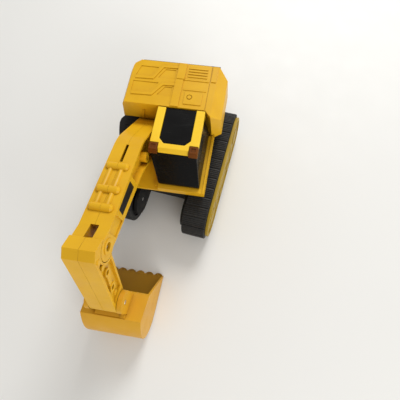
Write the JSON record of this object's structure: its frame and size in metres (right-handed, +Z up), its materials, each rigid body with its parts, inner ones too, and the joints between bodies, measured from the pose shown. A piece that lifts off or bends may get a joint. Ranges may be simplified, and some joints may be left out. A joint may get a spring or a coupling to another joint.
{
  "type": "toy excavator",
  "caption": "Moulded plastic toy excavator on rubber tracks, with a swinging house, black cab glazing and a jointed digging arm that ends in a toothed bucket.",
  "frame": {"origin": "the middle of the whole machine seen from above, at the level of the floor", "axes": "+Z is up, +Y runs along the machine towards its rear and -Y towards the bucket, and +X is the machine's left, the cab side"},
  "size_m": [0.1492, 0.3142, 0.1772],
  "materials": {
    "body_yellow": "moulded, satin",
    "roof_yellow": "moulded, glossy",
    "bucket_yellow": "moulded, satin",
    "cover_olive": "moulded, satin",
    "gloss_black": "moulded, glossy",
    "matte_black": "moulded, fine grain",
    "track_rubber": "moulded, dull",
    "lamp_amber": "moulded, glossy",
    "decal_dark": "printed film",
    "pin_steel": "turned"
  },
  "bodies": {
    "undercarriage": {"chassis_frame": "matte_black", "turntable_ring": "matte_black", "right_track_belt": "track_rubber", "right_track_cover": "cover_olive", "right_front_axle": "pin_steel", "right_rear_axle": "pin_steel", "right_front_roller_pin": "pin_steel", "right_rear_roller_pin": "pin_steel", "left_track_belt": "track_rubber", "left_track_cover": "cover_olive", "left_front_axle": "pin_steel", "left_rear_axle": "pin_steel", "left_front_roller_pin": "pin_steel", "left_rear_roller_pin": "pin_steel"},
    "house": {"house_deck": "body_yellow", "right_side_step": "matte_black", "engine_cover": "body_yellow", "rear_grille": "matte_black", "cab_glazing": "gloss_black", "cab_roof": "roof_yellow", "right_corner_lamp": "lamp_amber", "left_corner_lamp": "lamp_amber", "swing_screw": "pin_steel", "boom_foot_pin": "pin_steel"},
    "boom": {"boom_right_half": "body_yellow", "boom_left_half": "body_yellow", "boom_right_decal": "decal_dark", "boom_left_decal": "decal_dark", "boom_screw": "pin_steel", "elbow_pin": "pin_steel"},
    "stick": {"stick_right_half": "body_yellow", "stick_left_half": "body_yellow", "stick_lower_screw": "pin_steel", "stick_upper_screw": "pin_steel"},
    "bucket": {"bucket": "bucket_yellow", "wrist_pin": "pin_steel"},
    "right_front_wheel_body": {"right_front_wheel": "matte_black"},
    "right_rear_wheel_body": {"right_rear_wheel": "matte_black"},
    "right_front_roller_body": {"right_front_roller": "matte_black"},
    "right_rear_roller_body": {"right_rear_roller": "matte_black"},
    "left_front_wheel_body": {"left_front_wheel": "matte_black"},
    "left_rear_wheel_body": {"left_rear_wheel": "matte_black"},
    "left_front_roller_body": {"left_front_roller": "matte_black"},
    "left_rear_roller_body": {"left_rear_roller": "matte_black"}
  },
  "joints": [
    {"name": "swing", "type": "hinge", "parent": "undercarriage", "child": "house", "pos_m": [0, 0.0623, 0.057], "axis": [0, 0, 1], "continuous": true},
    {"name": "boom_lift", "type": "hinge", "parent": "house", "child": "boom", "pos_m": [-0.0319, 0.0865, 0.08], "axis": [-1, 0, 0], "range_deg": [-6, 22]},
    {"name": "stick_swing", "type": "hinge", "parent": "boom", "child": "stick", "pos_m": [-0.0319, -0.0777, 0.1535], "axis": [-1, 0, 0], "range_deg": [-8, 42]},
    {"name": "bucket_curl", "type": "hinge", "parent": "stick", "child": "bucket", "pos_m": [-0.0319, -0.1212, 0.08], "axis": [-1, 0, 0], "range_deg": [-10, 75]},
    {"name": "right_front_wheel_spin", "type": "hinge", "parent": "undercarriage", "child": "right_front_wheel_body", "pos_m": [-0.05341, 0.00859, 0.03], "axis": [0.9945, -0.1045, 0], "continuous": true},
    {"name": "right_rear_wheel_spin", "type": "hinge", "parent": "undercarriage", "child": "right_rear_wheel_body", "pos_m": [-0.04107, 0.12594, 0.03], "axis": [0.9945, -0.1045, 0], "continuous": true},
    {"name": "right_front_roller_spin", "type": "hinge", "parent": "undercarriage", "child": "right_front_roller_body", "pos_m": [-0.04923, 0.04837, 0.0148], "axis": [0.9945, -0.1045, 0], "continuous": true},
    {"name": "right_rear_roller_spin", "type": "hinge", "parent": "undercarriage", "child": "right_rear_roller_body", "pos_m": [-0.04525, 0.08616, 0.0148], "axis": [0.9945, -0.1045, 0], "continuous": true},
    {"name": "left_front_wheel_spin", "type": "hinge", "parent": "undercarriage", "child": "left_front_wheel_body", "pos_m": [0.04107, -0.00134, 0.03], "axis": [0.9945, -0.1045, 0], "continuous": true},
    {"name": "left_rear_wheel_spin", "type": "hinge", "parent": "undercarriage", "child": "left_rear_wheel_body", "pos_m": [0.05341, 0.11601, 0.03], "axis": [0.9945, -0.1045, 0], "continuous": true},
    {"name": "left_front_roller_spin", "type": "hinge", "parent": "undercarriage", "child": "left_front_roller_body", "pos_m": [0.04525, 0.03844, 0.0148], "axis": [0.9945, -0.1045, 0], "continuous": true},
    {"name": "left_rear_roller_spin", "type": "hinge", "parent": "undercarriage", "child": "left_rear_roller_body", "pos_m": [0.04923, 0.07623, 0.0148], "axis": [0.9945, -0.1045, 0], "continuous": true}
  ],
  "couplings": [
    {"joint": "right_rear_wheel_spin", "follows": "right_front_wheel_spin", "ratio": 1},
    {"joint": "right_front_roller_spin", "follows": "right_front_wheel_spin", "ratio": 2.9},
    {"joint": "right_rear_roller_spin", "follows": "right_front_wheel_spin", "ratio": 2.9},
    {"joint": "left_rear_wheel_spin", "follows": "left_front_wheel_spin", "ratio": 1},
    {"joint": "left_front_roller_spin", "follows": "left_front_wheel_spin", "ratio": 2.9},
    {"joint": "left_rear_roller_spin", "follows": "left_front_wheel_spin", "ratio": 2.9}
  ]
}
